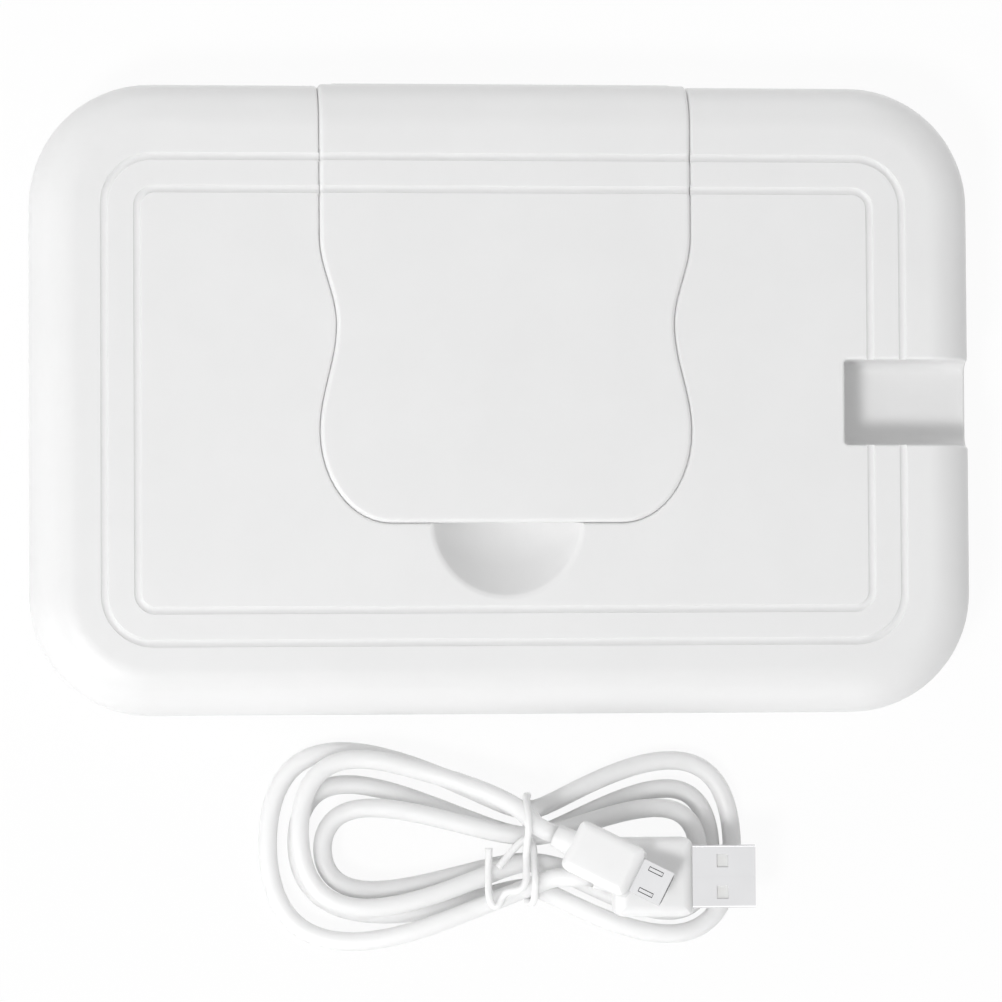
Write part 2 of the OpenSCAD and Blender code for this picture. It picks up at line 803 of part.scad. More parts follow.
// Ends of the cable: straight out of each plug, then in one easy bend to the hank
large_tilt = 0.9;
small_tilt = 16;
small_turn = 27;
large_at = [11.4, -5.3, 13];
small_at = [4.1, 2.8, 16.1];
large_pull = [5.8, 23.6];     // how far each end of a lead runs on before it bends away
small_pull = [26.7, 2.6];
large_way = [-cos(large_tilt), 0, sin(large_tilt)];
small_way = [-cos(small_turn) * cos(small_tilt), sin(small_turn) * cos(small_tilt), -sin(small_tilt)];
function easy_bend(from, to, from_way, to_way, steps) = [
    for (i = [1 : steps - 1])
        let (t = i / steps)
            pow(1 - t, 3) * from + 3 * t * pow(1 - t, 2) * (from + from_way)
            + 3 * t * t * (1 - t) * (to + to_way) + pow(t, 3) * to
];
function hank_route(rings) =
    let (
        body = hank_loops(rings),
        last = len(body) - 1,
        start_way = unit(body[0] - body[1]),
        end_way = unit(body[last] - body[last - 1]),
        large_neck = large_at + cord_d * large_way,
        small_neck = small_at + cord_d * small_way
    )
    concat(
        [large_at, large_at + cord_d / 2 * large_way, large_neck],
        easy_bend(large_neck, body[0], large_pull[0] * large_way, large_pull[1] * start_way, 8),
        body,
        easy_bend(body[last], small_neck, small_pull[0] * end_way, small_pull[1] * small_way, 8),
        [small_neck, small_at + cord_d / 2 * small_way, small_at]
    );

// Least gap between two stretches of the cable that lie more than twelve steps apart along it
fine_route = hank_route(4 * loop_rings);
least_gap = min([
    for (i = [0 : len(fine_route) - 13], j = [i + 12 : len(fine_route) - 1])
        norm(fine_route[i] - fine_route[j])
]) - cord_d;
route_length = [
    for (i = 1, sum = 0; i < len(fine_route); sum = sum + norm(fine_route[i] - fine_route[i - 1]), i = i + 1)
        sum
][len(fine_route) - 2];
echo(least_gap_of_the_cable = least_gap, length_of_the_cable = route_length);

module at_hank() {
    translate([hank_x, -case_d / 2 - hank_out, 0]) children();
}

module usb_cord() {
    color(white) at_hank() tube(hank_route(loop_rings), cord_d / 2, 6, [0, 1, 0]);
}

// Twist tie: down a loose loop at the near side, once round the waist, and back under itself
module cord_tie() {
    tie_r = 0.7;
    free_loop = [
        [-8.2, 0.4, 10.6], [-8.3, -3, 10.7], [-8.4, -6.5, 11], [-8.2, -9.2, 11.2], [-7.3, -10.7, 11],
        [-6.3, -10.4, 11.2], [-5.6, -8.9, 11.3], [-4.8, -8, 12], [-3.2, -7.7, 12.5], [-1.9, -7.1, 12.9]
    ];
    over_the_top = [
        [-1.3, -5.6, 13], [-1.2, -3.6, 12.6], [-1.2, -1, 12.4], [-1.2, 1.2, 13.9],
        [-1.2, 3.2, 16.3], [-1.2, 5, 17], [-1.2, 7, 16.4], [-1.2, 8.8, 14.4],
        [-1.1, 10.1, 12.2], [-0.9, 10.3, 10.2], [-0.4, 10.2, 7]
    ];
    underneath = [
        [0, 10.2, 3.6], [0, 9.5, 1.1], [0, 8.4, 0.72], [0, -8.4, 0.72], [0, -9.5, 1.1], [0, -10.2, 3.4],
        [0.2, -10.2, 6.6], [0.3, -10.1, 9.2]
    ];
    second_end = [
        [0.4, -9.1, 11.5], [0.4, -7, 13.1], [0.4, -5, 13], [0.4, -2, 11.6], [0.3, 0.3, 10.9],
        [-0.3, 1.7, 10.7], [-1.4, 1.9, 10.6], [-2.8, 0.8, 10.5], [-4.6, -1.2, 10.5], [-6.4, -3.4, 10.6]
    ];
    color(white) at_hank()
        tube(concat(free_loop, over_the_top, underneath, second_end), tie_r, 6, [1, 0, 0.1]);
}

// Sizes of the two plugs
large_size = [15.1, 15.2, 7.6];
large_boot = 4;
large_shell = [12.1, 12, 4.5];
small_size = [13.9, 10.2, 6.2];
small_boot = 3.5;
small_shell = [6.4, 6.85, 1.8];
shell_t = 0.35;
shell_hold = 5.5;

module at_large_plug() {
    at_hank() translate(large_at) rotate([0, large_tilt, 0]) children();
}

module at_small_plug() {
    at_hank() translate(small_at) rotate([0, -small_tilt, -small_turn]) children();
}

// Grip with soft edges, its rear face at x = 0
module grip(size, plan_r, edge_r) {
    intersection() {
        translate([size.x / 2, 0, 0]) slab(size.x, size.y, plan_r, -size.z, size.z);
        translate([size.x / 2, 0, 0]) rotate([90, 0, 0])
            linear_extrude(2 * size.y, center = true) rounded_plan(size.x, size.z, edge_r);
        rotate([90, 0, 90]) linear_extrude(size.x) rounded_plan(size.y, size.z, edge_r);
    }
}

module boot(length, r) {
    rotate([0, 90, 0]) cylinder(h = length + 1, r1 = cord_d / 2 + 0.4, r2 = r);
}

// Folded shell of a plug along X, with its outer size and wall
module shell_tube(from, size, wall_t, round) {
    translate([from, 0, 0]) rotate([90, 0, 90]) linear_extrude(size.x) difference() {
        rounded_plan(size.y, size.z, round);
        rounded_plan(size.y - 2 * wall_t, size.z - 2 * wall_t, round - wall_t / 2);
    }
}

module usb_a_moulding() {
    color(white) at_large_plug() difference() {
        union() {
            translate([large_boot, 0, 0]) grip(large_size, 2.2, 2.2);
            boot(large_boot, 3);
        }
        translate([large_boot + large_size.x - shell_hold, 0, 0]) rotate([90, 0, 90])
            linear_extrude(20) rounded_plan(large_shell.y, large_shell.z, 0.6);
    }
}

module usb_a_shell() {
    base = large_boot + large_size.x;
    color(steel) at_large_plug() difference() {
        shell_tube(base - shell_hold, large_shell + [shell_hold, 0, 0], shell_t, 0.6);
        for (s = [-1, 1]) translate([base + 4.6, s * 3 - 1.25, -5]) cube([2.2, 2.5, 10]);
        translate([base - 1, -0.12, large_shell.z / 2 - 0.15]) cube([20, 0.24, 1]);
    }
}

module usb_a_insulator() {
    base = large_boot + large_size.x;
    inner_w = large_shell.y - 2 * shell_t - 0.1;
    inner_t = large_shell.z - 2 * shell_t - 0.1;
    color(white) at_large_plug() difference() {
        translate([base - shell_hold, 0, 0]) rotate([90, 0, 90])
            linear_extrude(shell_hold + large_shell.x - 1) rounded_plan(inner_w, inner_t, 0.4);
        translate([base, -inner_w, -inner_t]) cube([large_shell.x, 2 * inner_w, inner_t + 0.05]);
    }
}

module usb_a_contacts() {
    base = large_boot + large_size.x;
    color(gold) at_large_plug() for (y = [-3.5, -1, 1, 3.5])
        translate([base + 0.2, y - 0.5, -0.2]) cube([large_shell.x - 3 - (abs(y) > 2 ? 0 : 1), 1, 0.25]);
}

module micro_section(grow) {
    w = small_shell.y / 2 + grow;
    t = small_shell.z / 2 + grow;
    polygon([[-w, t], [-w, -t + 0.9], [-w + 0.75, -t], [w - 0.75, -t], [w, -t + 0.9], [w, t]]);
}

module micro_moulding() {
    base = small_boot + small_size.x;
    color(white) at_small_plug() difference() {
        union() {
            translate([small_boot, 0, 0]) grip(small_size, 1.8, 1.8);
            boot(small_boot, 2.6);
        }
        translate([base - shell_hold, 0, 0]) rotate([90, 0, 90]) linear_extrude(20) micro_section(0);
    }
}

module micro_shell() {
    base = small_boot + small_size.x;
    color(steel) at_small_plug() difference() {
        translate([base - shell_hold, 0, 0]) rotate([90, 0, 90])
            linear_extrude(small_shell.x + shell_hold) difference() {
                micro_section(0);
                micro_section(-0.3);
            }
        for (s = [-1, 1]) translate([base + 1.6, s * 2.2 - 0.45, 0]) cube([3, 0.9, 2]);
    }
}

module micro_latches() {
    base = small_boot + small_size.x;
    color(steel) at_small_plug() for (s = [-1, 1])
        translate([base + 1.7, s * 2.2 - 0.3, small_shell.z / 2 - 0.3]) {
            cube([2.8, 0.6, 0.25]);
            translate([1.8, 0, 0]) cube([0.7, 0.6, 0.55]);
            translate([0, 0, -0.3]) cube([0.4, 0.6, 0.4]);
        }
}

module micro_insulator() {
    base = small_boot + small_size.x;
    inner_w = small_shell.y - 2.2;
    color(black) at_small_plug() {
        translate([base - shell_hold, -inner_w / 2, -0.55]) cube([shell_hold, inner_w, 1.1]);
        translate([base, -inner_w / 2, -0.55]) cube([small_shell.x - 0.8, inner_w, 0.5]);
    }
}

upper_case();
lid();
lid_seal();
hinge_rod();
base_frame();
mouth_bezel();
heat_plate();
heater_film();
heater_trace();
insulation_pad();
thermistor();
thermal_cutoff();
heater_leads();
sensor_leads();
control_board();
board_chips();
usb_socket();
board_screws();
case_screws();
foot_pads();
usb_cord();
cord_tie();
usb_a_moulding();
usb_a_shell();
usb_a_insulator();
usb_a_contacts();
micro_moulding();
micro_shell();
micro_insulator();
micro_latches();
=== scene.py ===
import json
import math

import bmesh
import bpy
import numpy as np
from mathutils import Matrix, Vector


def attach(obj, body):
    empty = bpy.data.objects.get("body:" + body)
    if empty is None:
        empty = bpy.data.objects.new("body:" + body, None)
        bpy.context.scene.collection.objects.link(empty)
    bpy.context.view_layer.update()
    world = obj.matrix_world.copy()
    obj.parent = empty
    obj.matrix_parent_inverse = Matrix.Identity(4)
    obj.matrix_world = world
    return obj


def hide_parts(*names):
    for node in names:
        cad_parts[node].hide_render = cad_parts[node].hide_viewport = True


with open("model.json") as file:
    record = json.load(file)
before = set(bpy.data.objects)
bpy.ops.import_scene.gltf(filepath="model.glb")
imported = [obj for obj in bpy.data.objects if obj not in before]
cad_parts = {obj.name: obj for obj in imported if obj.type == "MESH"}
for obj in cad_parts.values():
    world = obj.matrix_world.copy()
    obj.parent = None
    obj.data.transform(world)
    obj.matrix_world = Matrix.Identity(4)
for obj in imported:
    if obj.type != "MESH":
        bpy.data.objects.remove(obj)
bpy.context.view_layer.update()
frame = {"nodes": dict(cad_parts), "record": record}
NODES = frame["nodes"]
MM = 0.001

# Camera: almost straight above, a little to the left and to the front, as in the photograph
SENSOR = 36
PHOTO_PX, FOCAL_PX = 1002, 5187.35
cam_data = bpy.data.cameras.new("camera")
cam_data.sensor_fit = "HORIZONTAL"
cam_data.sensor_width = SENSOR
cam_data.lens = SENSOR * FOCAL_PX / PHOTO_PX
cam_data.clip_end = 10
camera = bpy.data.objects.new("camera", cam_data)
camera.location = (-0.09644, -0.06239, 1.00022)
camera.rotation_euler = (0.0440, -0.0970, -0.0060)
bpy.context.scene.collection.objects.link(camera)
bpy.context.scene.camera = camera

# The cable: the route of the source, in millimetres about the waist of the hank, then in metres.
# Eight strands cross at the waist, in two layers, and each loop leads from one strand to the next.
CORD_R = 1.8
HANK = np.array([5.6, -86.0, 0.0])
STRAND_STEP = 5.0
LOW, HIGH = 3.6, 7.7
STRAND_Y = STRAND_STEP * np.array([-1.5, 1.5, -1.5, 0.5, -0.5, 0.5, -0.5, 1.5])
STRAND_Z = np.array([HIGH, LOW, LOW, LOW, LOW, HIGH, HIGH, HIGH])
# Reach to the side, half the width, and the height of the middle in Y and of the tip in Z
LOOPS = [(50.1, 16.6, 1.2, 1.9), (39.9, 15.1, 0.2, 1.9), (44.5, 11.4, 1.5, 1.9), (35.7, 11.7, -0.5, 1.9),
         (39.7, 7.8, 0.3, 4.6), (32.8, 8.1, -0.6, 5.3), (44.2, 13.4, 3.6, 6.4)]
BELLY, WAIST_BEND = 0.17, 2.2
# The two plugs: where the cable enters them, the way it points there, and how far each lead is pulled straight
LARGE_TILT, SMALL_TILT, SMALL_TURN = (math.radians(a) for a in (0.9, 16, 27))
LARGE_AT = np.array([11.4, -5.3, 13.0])
SMALL_AT = np.array([4.1, 2.8, 16.1])
LARGE_WAY = np.array([-math.cos(LARGE_TILT), 0, math.sin(LARGE_TILT)])
SMALL_WAY = np.array([-math.cos(SMALL_TURN) * math.cos(SMALL_TILT), math.sin(SMALL_TURN) * math.cos(SMALL_TILT),
                      -math.sin(SMALL_TILT)])
LARGE_PULL, SMALL_PULL = (5.8, 23.6), (26.7, 2.6)
# The first loop starts and the last one ends on the way, where the leads to the plugs take over
FIRST_DEG, LAST_DEG = 15, 150
ROUTE_RINGS, BEND_STEPS = 96, 24


def loop_point(n, deg):
    """Point of loop n, which leaves the waist at 0 degrees and is back there at 180."""
    a = math.radians(deg)
    side = -1 if n % 2 == 0 else 1
    at = n if deg <= 90 else n + 1
    up = 1 if STRAND_Y[n] > 0 else -1
    reach, half, middle, tip = LOOPS[n]
    near = math.cos(a) ** 4
    swing = half * math.sin(2 * a)
    soft = WAIST_BEND * near
    bow = (-1 if swing < 0 else 1) * (math.hypot(swing, soft) - soft)
    return (side * reach * math.sin(a) * (1 + BELLY * math.cos(a) ** 2),
            STRAND_Y[at] * near + middle * (1 - near) + up * bow,
            tip + (STRAND_Z[at] - tip) * abs(math.cos(a)) ** 3)


def easy_bend(start, end, start_way, end_way, steps):
    """Inner points of a cubic curve from start to end."""
    t = (np.arange(1, steps) / steps)[:, None]
    return ((1 - t) ** 3 * start + 3 * t * (1 - t) ** 2 * (start + start_way)
            + 3 * t * t * (1 - t) * (end + end_way) + t ** 3 * end)


def unit(v):
    return v / np.linalg.norm(v)


def hank_route(rings, bend_steps):
    """The whole centreline, from the large plug through the loops to the small one."""
    body = []
    for n in range(len(LOOPS)):
        first = rings * FIRST_DEG // 180 if n == 0 else 0
        last = rings * LAST_DEG // 180 if n == len(LOOPS) - 1 else rings - 1
        body += [loop_point(n, 180 * i / rings) for i in range(first, last + 1)]
    body = np.array(body)
    start_way, end_way = unit(body[0] - body[1]), unit(body[-1] - body[-2])
    large_neck = LARGE_AT + 2 * CORD_R * LARGE_WAY
    small_neck = SMALL_AT + 2 * CORD_R * SMALL_WAY
    return np.vstack([
        [LARGE_AT, LARGE_AT + CORD_R * LARGE_WAY, large_neck],
        easy_bend(large_neck, body[0], LARGE_PULL[0] * LARGE_WAY, LARGE_PULL[1] * start_way, bend_steps),
        body,
        easy_bend(body[-1], small_neck, SMALL_PULL[0] * end_way, SMALL_PULL[1] * SMALL_WAY, bend_steps),
        [small_neck, SMALL_AT + CORD_R * SMALL_WAY, SMALL_AT]])


def tube(name, points, radius, sides=24):
    """A round tube through points given in metres, with flat ends."""
    points = np.asarray(points)
    ways = np.gradient(points, axis=0)
    across = np.cross(ways[0], (0, 0, 1))
    turns = 2 * math.pi * np.arange(sides)[:, None] / sides
    rings = []
    for at, way in zip(points, ways):
        way = unit(way)
        across = unit(across - across.dot(way) * way)
        rings.append(at + radius * (np.cos(turns) * across + np.sin(turns) * np.cross(way, across)))
    last = sides * (len(rings) - 1)
    faces = [[row + i, row + (i + 1) % sides, row + sides + (i + 1) % sides, row + sides + i]
             for row in range(0, last, sides) for i in range(sides)]
    ends = [list(reversed(range(sides))), [last + i for i in range(sides)]]
    mesh = bpy.data.meshes.new(name)
    mesh.from_pydata(np.vstack(rings).tolist(), [], faces + ends)
    mesh.polygons.foreach_set("use_smooth", [True] * len(faces) + [False] * len(ends))
    obj = bpy.data.objects.new(name, mesh)
    bpy.context.scene.collection.objects.link(obj)
    return obj


def smooth_path(points, per):
    """Catmull-Rom points through the given ones."""
    p = np.array(points, float)
    p = np.vstack([2 * p[0] - p[1], p, 2 * p[-1] - p[-2]])
    out = []
    for a, b, c, d in zip(p[:-3], p[1:-2], p[2:-1], p[3:]):
        for t in np.arange(per) / per:
            out.append(0.5 * (2 * b + (c - a) * t + (2 * a - 5 * b + 4 * c - d) * t ** 2
                              + (3 * b - a - 3 * c + d) * t ** 3))
    return np.vstack(out + [p[-2]])


def at_hank(points):
    """Points about the waist, in millimetres, as points in metres."""
    return (np.asarray(points) + HANK) * MM


route = at_hank(hank_route(ROUTE_RINGS, BEND_STEPS))
cable = tube("cable", route, CORD_R * MM)
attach(cable, "cable")
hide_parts("usb_cord")

# The tie, in millimetres: from its first end over the strands, round the waist, and back to the top with its second
# end. It is kept off the floor, at no less than TIE_REST metres.
TIE_R, TIE_REST = 0.7, 0.00072
TIE = [[-8.2, 0.4, 10.6], [-8.3, -3, 10.7], [-8.4, -6.5, 11], [-8.2, -9.2, 11.2], [-7.3, -10.7, 11],
       [-6.3, -10.4, 11.2], [-5.6, -8.9, 11.3], [-4.8, -8, 12], [-3.2, -7.7, 12.5], [-1.9, -7.1, 12.9],
       [-1.3, -5.6, 13], [-1.2, -3.6, 12.6], [-1.2, -1, 12.4], [-1.2, 1.2, 13.9], [-1.2, 3.2, 16.3], [-1.2, 5, 17],
       [-1.2, 7, 16.4], [-1.2, 8.8, 14.4], [-1.1, 10.1, 12.2], [-0.9, 10.3, 10.2], [-0.4, 10.2, 7], [0, 10.2, 3.6],
       [0, 9.5, 1.1], [0, 8.4, 0.72], [0, 4, 0.72], [0, 0, 0.72], [0, -4, 0.72], [0, -8.4, 0.72], [0, -9.5, 1.1],
       [0, -10.2, 3.4], [0.2, -10.2, 6.6], [0.3, -10.1, 9.2], [0.4, -9.1, 11.5], [0.4, -7, 13.1], [0.4, -5, 13],
       [0.4, -2, 11.6], [0.3, 0.3, 10.9], [-0.3, 1.7, 10.7], [-1.4, 1.9, 10.6], [-2.8, 0.8, 10.5],
       [-4.6, -1.2, 10.5], [-6.4, -3.4, 10.6]]
tie_path = at_hank(smooth_path(TIE, 6))
tie_path[:, 2] = np.maximum(tie_path[:, 2], TIE_REST)
tie = tube("twist_tie", tie_path, TIE_R * MM, 16)
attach(tie, "cable")
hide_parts("cord_tie")


# The housing and its lid: the solids with the softly rounded edges of mouldings, in metres
CASE_HALF = (0.090, 0.060)
CORNER_R, RIM_R, CASE_H = 0.023, 0.009, 0.024
SCOOP_AT, SCOOP_R, SCOOP_NEAR = (0.0, -0.0237), 0.0142, 0.0004
BAY_FROM_X, BAY_Y, BAY_REACH = 0.062, -0.001, 0.0095
# The lid's walls that are moved outwards: the upright ones above LID_WALL_Z in front of LID_REAR_Y, and those that
# face sideways outside LID_WALL_X. UPRIGHT and SIDEWAYS are limits for the z and x of a wall's normal.
LID_WALL_X, LID_WALL_Z, LID_REAR_Y, LID_GROW = 0.035, 0.0222, 0.05, 0.00015
UPRIGHT, SIDEWAYS = 0.05, 0.99
# The ring grooves: how deep they are, how far inside the outline the strip with both lies, how much they move as
# shares of x and y and how much to the front, and from where along x and y
GROOVE_T, GROOVE_ZONE = 0.0005, (0.0115, 0.0215)
GROOVES_IN, GROOVES_FRONT = (0.010, 0.017), 0.0005
SHIFT_FROM, SHIFT_EASE = (0.045, 0.02), 0.01
# Edges no deeper than SKIN that turn by more than so many degrees get a rounding of so many metres
SKIN, LID_SKIN = 0.0001, 0.00015
SCOOP_TURN, EDGE_TURN = 40, 75
SCOOP_ROUND, EDGE_ROUND, LID_ROUND = 0.0008, 0.0006, 0.0009
# Meshing of the two mouldings: weld distance, degrees that count as flat and as sharp, and rings in a rounding
WELD, FLAT_DEG, SHARP_DEG, ROUND_RINGS = 1e-7, 0.3, 32, 4


def inset(p):
    """How far a point lies inside the outline of the housing, seen from above."""
    dx, dy = (abs(p[i]) - (CASE_HALF[i] - CORNER_R) for i in (0, 1))
    return CORNER_R - (math.hypot(dx, dy) if dx > 0 and dy > 0 else max(dx, dy))


def skin_depth(p):
    """How deep a point lies under the outer skin of the housing."""
    side = inset(p)
    out, up = RIM_R - side, p[2] - (CASE_H - RIM_R)
    return RIM_R - math.hypot(out, up) if out > 0 and up > 0 else min(side, CASE_H - p[2])


def middle(edge):
    return (edge.verts[0].co + edge.verts[1].co) / 2


def on_scoop(edge):
    """Whether an edge is the rim of the finger scoop in the top."""
    p = middle(edge)
    off_circle = abs(math.hypot(p.x - SCOOP_AT[0], p.y - SCOOP_AT[1]) - SCOOP_R)
    return p.z > CASE_H - SKIN and off_circle < SCOOP_NEAR


def on_bay(edge):
    """Whether an edge belongs to the USB bay."""
    p = middle(edge)
    return p.x > BAY_FROM_X and abs(p.y - BAY_Y) < BAY_REACH


def elsewhere(edge):
    """Whether an edge belongs to neither of these."""
    return not on_scoop(edge) and not on_bay(edge)


def anywhere(edge):
    return True


def fill_out(bm, by):
    """Moves the side walls of the lid outwards, so that only a hairline is left of the gap."""
    ways = {}
    for face in bm.faces:
        at, n = face.calc_center_median(), face.normal
        upper_wall = abs(n.z) < UPRIGHT and at.z > LID_WALL_Z and at.y < LID_REAR_Y
        side_wall = abs(n.x) > SIDEWAYS and abs(at.x) > LID_WALL_X
        if upper_wall or side_wall:
            for v in face.verts:
                ways.setdefault(v, []).append(n.copy())
    for v, normals in ways.items():
        v.co += by * sum(normals, Vector()).normalized()


def ease(t):
    """0 up to t = 0, 1 from t = 1, and smooth between them."""
    t = min(max(t, 0), 1)
    return t * t * (3 - 2 * t)


def draw_in_grooves(bm):
    """Moves the ring grooves inwards by up to 1.3 mm, to where the photograph shows them."""
    lowest = CASE_H - 1.2 * GROOVE_T    # a little below the bottoms of the grooves
    for v in bm.verts:
        x, y, z = v.co
        if z > lowest and GROOVE_ZONE[0] < inset(v.co) < GROOVE_ZONE[1]:
            v.co.x -= GROOVES_IN[0] * x * ease((abs(x) - SHIFT_FROM[0]) / SHIFT_EASE)
            v.co.y -= (GROOVES_IN[1] * y + GROOVES_FRONT) * ease((abs(y) - SHIFT_FROM[1]) / SHIFT_EASE)


def rounded(node, body, passes, grow=0.0):
    """The node's mesh again, in its place. Each pass (skin, turn, width, test) rounds edges of its outer skin."""
    mesh = bpy.data.meshes.new(node + "_moulded")
    bm = bmesh.new()
    bm.from_mesh(NODES[node].data)
    bmesh.ops.remove_doubles(bm, verts=bm.verts, dist=WELD)
    bmesh.ops.dissolve_limit(bm, angle_limit=math.radians(FLAT_DEG), verts=bm.verts, edges=bm.edges)
    draw_in_grooves(bm)
    if grow:
        fill_out(bm, grow)
    for skin, turn, width, test in passes:
        edges = [e for e in bm.edges if e.is_manifold and e.calc_face_angle_signed(0) > math.radians(turn)
                 and skin_depth(middle(e)) < skin and test(e)]
        bmesh.ops.bevel(bm, geom=edges, offset=width, offset_type="OFFSET", segments=ROUND_RINGS, profile=0.5,
                        affect="EDGES", clamp_overlap=False)
    for face in bm.faces:
        face.smooth = True
    for edge in bm.edges:
        edge.smooth = not edge.is_manifold or edge.calc_face_angle(0) < math.radians(SHARP_DEG)
    bm.to_mesh(mesh)
    bm.free()
    obj = bpy.data.objects.new(node + "_moulded", mesh)
    bpy.context.scene.collection.objects.link(obj)
    even = obj.modifiers.new("even", "WEIGHTED_NORMAL")
    even.keep_sharp = True
    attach(obj, body)
    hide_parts(node)
    return obj


housing = rounded("upper_case", "case", [
    (SKIN, SCOOP_TURN, SCOOP_ROUND, on_scoop),
    (SKIN, EDGE_TURN, EDGE_ROUND, on_bay),
    (SKIN, EDGE_TURN, EDGE_ROUND, elsewhere)])
flip_lid = rounded("lid", "lid", [(LID_SKIN, EDGE_TURN, LID_ROUND, anywhere)], LID_GROW)


# Materials: how far the roughness varies both ways and its least value, the depth of the bump in metres, the ends of
# the colour ramp, and the detail of the two noises
ROUGH_VARY, LEAST_ROUGH, BUMP_DEPTH = 0.05, 0.02, 0.0002
RAMP_ENDS = (0.3, 0.7)
CLOUD_DETAIL, GRAIN_DETAIL = 4, 3


def material(name, colour, roughness, metallic=0.0, vary=0.02, vary_scale=60.0, grain=0.02, grain_scale=2500.0,
             stretch=(1, 1, 1), coat=0.0, subsurface=0.0, scatter=0.001):
    """Colour that drifts a little over the surface, a fine grain in the bump, and roughness that varies with it."""
    mat = bpy.data.materials.new(name)
    mat.use_nodes = True
    nodes, links = mat.node_tree.nodes, mat.node_tree.links
    bsdf = nodes["Principled BSDF"]
    bsdf.inputs["Metallic"].default_value = metallic
    bsdf.inputs["Coat Weight"].default_value = coat
    if subsurface:
        bsdf.inputs["Subsurface Weight"].default_value = subsurface
        bsdf.inputs["Subsurface Radius"].default_value = (1, 1, 1)
        bsdf.inputs["Subsurface Scale"].default_value = scatter
    coord = nodes.new("ShaderNodeTexCoord")
    mapping = nodes.new("ShaderNodeMapping")
    mapping.inputs["Scale"].default_value = stretch
    links.new(coord.outputs["Object"], mapping.inputs["Vector"])
    cloud = nodes.new("ShaderNodeTexNoise")
    cloud.inputs["Scale"].default_value = vary_scale
    cloud.inputs["Detail"].default_value = CLOUD_DETAIL
    links.new(coord.outputs["Object"], cloud.inputs["Vector"])
    ramp = nodes.new("ShaderNodeValToRGB")
    for end, place, factor in zip(ramp.color_ramp.elements, RAMP_ENDS, (1 - vary, 1 + vary)):
        end.position = place
        end.color = (*[min(1, c * factor) for c in colour], 1)
    links.new(cloud.outputs["Fac"], ramp.inputs["Fac"])
    links.new(ramp.outputs["Color"], bsdf.inputs["Base Color"])
    fine = nodes.new("ShaderNodeTexNoise")
    fine.inputs["Scale"].default_value = grain_scale
    fine.inputs["Detail"].default_value = GRAIN_DETAIL
    links.new(mapping.outputs["Vector"], fine.inputs["Vector"])
    rough = nodes.new("ShaderNodeMapRange")
    rough.inputs["To Min"].default_value = max(LEAST_ROUGH, roughness - ROUGH_VARY)
    rough.inputs["To Max"].default_value = min(1, roughness + ROUGH_VARY)
    links.new(fine.outputs["Fac"], rough.inputs["Value"])
    links.new(rough.outputs["Result"], bsdf.inputs["Roughness"])
    bump = nodes.new("ShaderNodeBump")
    bump.inputs["Strength"].default_value = grain
    bump.inputs["Distance"].default_value = BUMP_DEPTH
    links.new(fine.outputs["Fac"], bump.inputs["Height"])
    links.new(bump.outputs["Normal"], bsdf.inputs["Normal"])
    return mat


MATERIALS = {
    "white_case": material("white_case", (0.85, 0.85, 0.85), 0.42, vary=0.01, grain=0.05, grain_scale=1800,
                           subsurface=0.4, scatter=0.0008),
    "seal_silicone": material("seal_silicone", (0.74, 0.74, 0.73), 0.55, vary=0.03, subsurface=0.2, grain=0.05),
    "rod_steel": material("rod_steel", (0.62, 0.62, 0.64), 0.28, metallic=1, stretch=(0.05, 1, 1), grain=0.1),
    "plate_aluminium": material("plate_aluminium", (0.75, 0.76, 0.78), 0.38, metallic=1, stretch=(0.03, 1, 1),
                                grain=0.2, grain_scale=3000),
    "heater_amber": material("heater_amber", (0.55, 0.24, 0.05), 0.25, vary=0.08, coat=0.3),
    "foil_metal": material("foil_metal", (0.60, 0.55, 0.48), 0.35, metallic=1, vary=0.06),
    "pad_foam": material("pad_foam", (0.72, 0.72, 0.70), 0.95, vary=0.06, grain=0.9, grain_scale=900),
    "bead_glass": material("bead_glass", (0.02, 0.02, 0.022), 0.2, coat=0.4),
    "fuse_case": material("fuse_case", (0.72, 0.70, 0.62), 0.5, vary=0.04),
    "lead_red": material("lead_red", (0.45, 0.02, 0.015), 0.4, vary=0.05),
    "lead_black": material("lead_black", (0.015, 0.015, 0.015), 0.4, vary=0.05),
    "board_green": material("board_green", (0.01, 0.13, 0.05), 0.35, vary=0.25, vary_scale=900, coat=0.3),
    "chip_black": material("chip_black", (0.02, 0.02, 0.02), 0.55, vary=0.1, grain=0.3),
    "shell_steel": material("shell_steel", (0.74, 0.74, 0.75), 0.24, metallic=1, vary=0.03, stretch=(1, 0.06, 1),
                            grain=0.12, grain_scale=3500),
    "screw_steel": material("screw_steel", (0.50, 0.50, 0.52), 0.32, metallic=1, vary=0.05, grain=0.2),
    "foot_silicone": material("foot_silicone", (0.62, 0.62, 0.61), 0.7, vary=0.03, subsurface=0.15, grain=0.2),
    "cord_white": material("cord_white", (0.90, 0.90, 0.90), 0.45, vary=0.008, grain=0.06, grain_scale=1500,
                           subsurface=1.0, scatter=0.006),
    "tie_white": material("tie_white", (0.90, 0.90, 0.90), 0.35, vary=0.01, grain=0.1, subsurface=0.5),
    "plug_white": material("plug_white", (0.88, 0.88, 0.88), 0.36, vary=0.01, grain=0.05, subsurface=0.7,
                           scatter=0.002),
    "insulator_white": material("insulator_white", (0.80, 0.80, 0.79), 0.3, vary=0.02),
    "insulator_black": material("insulator_black", (0.02, 0.02, 0.02), 0.3, vary=0.1),
    "contact_gold": material("contact_gold", (0.83, 0.55, 0.18), 0.22, metallic=1, vary=0.04),
}
SLOT_OF = {p["node"]: p["material_slot"] for p in frame["record"]["subparts"]}
for node, obj in NODES.items():
    obj.data.materials.clear()
    obj.data.materials.append(MATERIALS[SLOT_OF[node]])
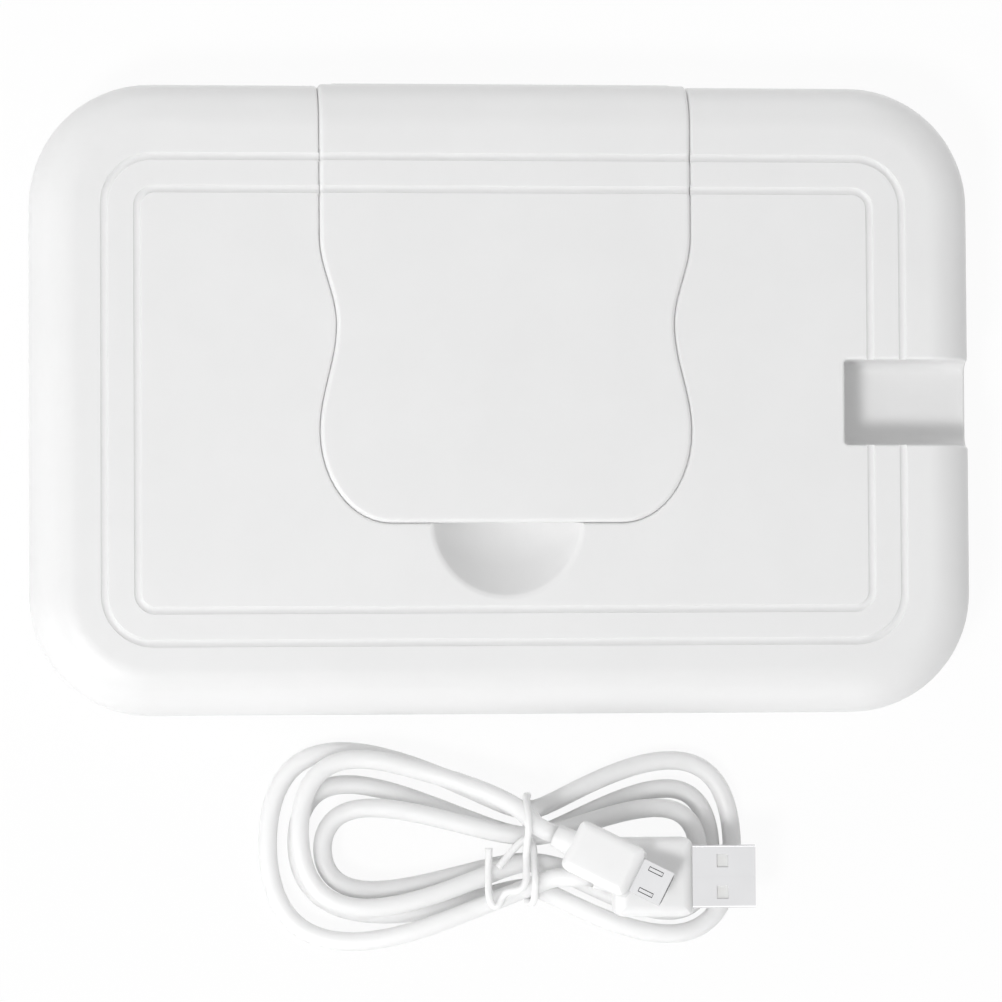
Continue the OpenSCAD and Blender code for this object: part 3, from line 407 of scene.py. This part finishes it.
for obj, slot in ((cable, "cord_white"), (housing, "white_case"), (flip_lid, "white_case"), (tie, "tie_white")):
    obj.data.materials.append(MATERIALS[slot])

# Floor and world: white to the camera and in reflections. To all other light the floor is plain and pale and the
# world dimmer, and the floor keeps some of the object's shadow.
WHITE = (1, 1, 1, 1)
FLOOR_COLOUR, FLOOR_GLOW = (0.92, 0.92, 0.92, 1), 0.93
FLOOR_HALF, FLOOR_Z = 3, -0.00005    # a hair under the feet, so that the two faces don't coincide
WORLD_LIGHT = 0.48


def looked_at(tree):
    """Output that is 1 for rays from the camera and in reflections, and 0 for all others."""
    path = tree.nodes.new("ShaderNodeLightPath")
    either = tree.nodes.new("ShaderNodeMath")
    either.operation = "MAXIMUM"
    tree.links.new(path.outputs["Is Camera Ray"], either.inputs[0])
    tree.links.new(path.outputs["Is Glossy Ray"], either.inputs[1])
    return either.outputs["Value"]


def floor_material():
    """A pale floor that glows white by FLOOR_GLOW where it is looked at."""
    mat = bpy.data.materials.new("floor_white")
    mat.use_nodes = True
    nodes, links = mat.node_tree.nodes, mat.node_tree.links
    nodes.clear()
    out = nodes.new("ShaderNodeOutputMaterial")
    diffuse = nodes.new("ShaderNodeBsdfDiffuse")
    diffuse.inputs["Color"].default_value = FLOOR_COLOUR
    glow = nodes.new("ShaderNodeEmission")
    glow.inputs["Color"].default_value = WHITE
    glow.inputs["Strength"].default_value = 1
    share = nodes.new("ShaderNodeMath")
    share.operation = "MULTIPLY"
    share.inputs[1].default_value = FLOOR_GLOW
    links.new(looked_at(mat.node_tree), share.inputs[0])
    mix = nodes.new("ShaderNodeMixShader")
    links.new(share.outputs["Value"], mix.inputs["Fac"])
    links.new(diffuse.outputs["BSDF"], mix.inputs[1])
    links.new(glow.outputs["Emission"], mix.inputs[2])
    links.new(mix.outputs["Shader"], out.inputs["Surface"])
    return mat


def add_floor():
    """The plain floor under the object."""
    mesh = bpy.data.meshes.new("floor")
    corners = ((-1, -1), (1, -1), (1, 1), (-1, 1))
    mesh.from_pydata([(x * FLOOR_HALF, y * FLOOR_HALF, FLOOR_Z) for x, y in corners], [], [(0, 1, 2, 3)])
    mesh.materials.append(floor_material())
    floor = bpy.data.objects.new("floor", mesh)
    bpy.context.scene.collection.objects.link(floor)


def add_world():
    """The even light from all around."""
    world = bpy.data.worlds.new("world")
    bpy.context.scene.world = world
    world.use_nodes = True
    nodes, links = world.node_tree.nodes, world.node_tree.links
    nodes["Background"].inputs["Color"].default_value = WHITE
    level = nodes.new("ShaderNodeMapRange")
    level.inputs["To Min"].default_value = WORLD_LIGHT
    level.inputs["To Max"].default_value = 1
    links.new(looked_at(world.node_tree), level.inputs["Value"])
    links.new(level.outputs["Result"], nodes["Background"].inputs["Strength"])


def lamp(name, place, size, watts):
    """A square area lamp that shines at the origin."""
    data = bpy.data.lights.new(name, "AREA")
    data.size = size
    data.energy = watts
    obj = bpy.data.objects.new(name, data)
    obj.location = place
    obj.rotation_euler = (-Vector(place)).to_track_quat("-Z", "Y").to_euler()
    bpy.context.scene.collection.objects.link(obj)


add_floor()
add_world()
# The key comes from the front left, as the photograph's shades show
for name, place, size, watts in (("key", (-0.56, -0.60, 1.26), 0.3, 9.8),
                                 ("side fill", (-1.35, -0.55, 0.38), 0.8, 3.6),
                                 ("front fill", (0.1, -1.5, 0.45), 1.0, 2.4),
                                 ("back fill", (0.1, 1.5, 0.45), 1.0, 4.6)):
    lamp(name, place, size, watts)

bpy.context.scene.view_settings.view_transform = "Standard"
